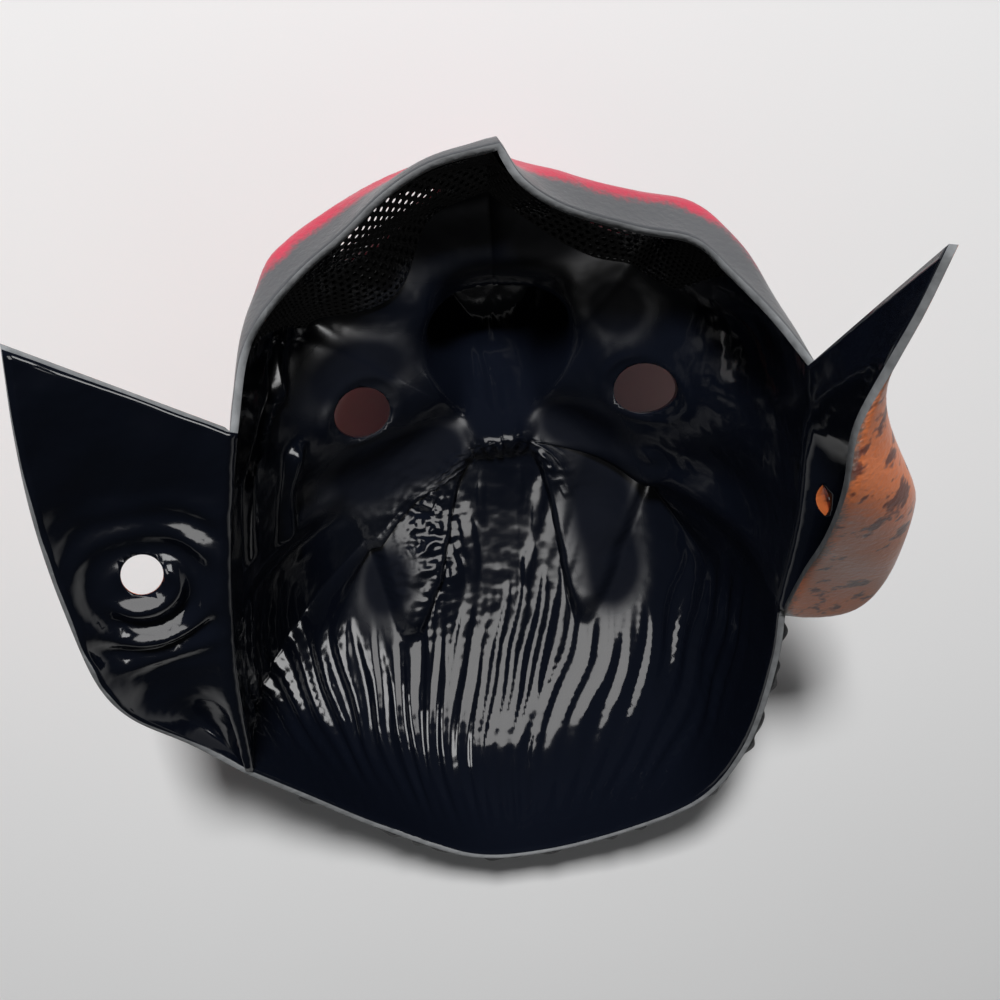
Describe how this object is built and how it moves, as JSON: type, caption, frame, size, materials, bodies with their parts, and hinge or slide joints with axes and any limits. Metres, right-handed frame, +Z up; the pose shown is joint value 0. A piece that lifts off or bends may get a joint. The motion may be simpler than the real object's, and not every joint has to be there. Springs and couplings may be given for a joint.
{
  "type": "devil mask",
  "caption": "Hollow moulded devil mask with pointed ears, eye holes, a netted mouth and locks of hair, lying face down.",
  "frame": {"origin": "middle of the bounding box, on the floor that the mask lies on", "axes": "+Z up, out of the open back of the mask; +Y along the mask from the crown to the chin; +X to the mask's bent ear"},
  "size_m": [0.1994, 0.2343, 0.1642],
  "materials": {
    "painted_vinyl": "glossy",
    "black_net": "matte"
  },
  "bodies": {
    "root": {"mask_shell": "painted_vinyl", "mouth_net": "black_net"}
  },
  "joints": []
}
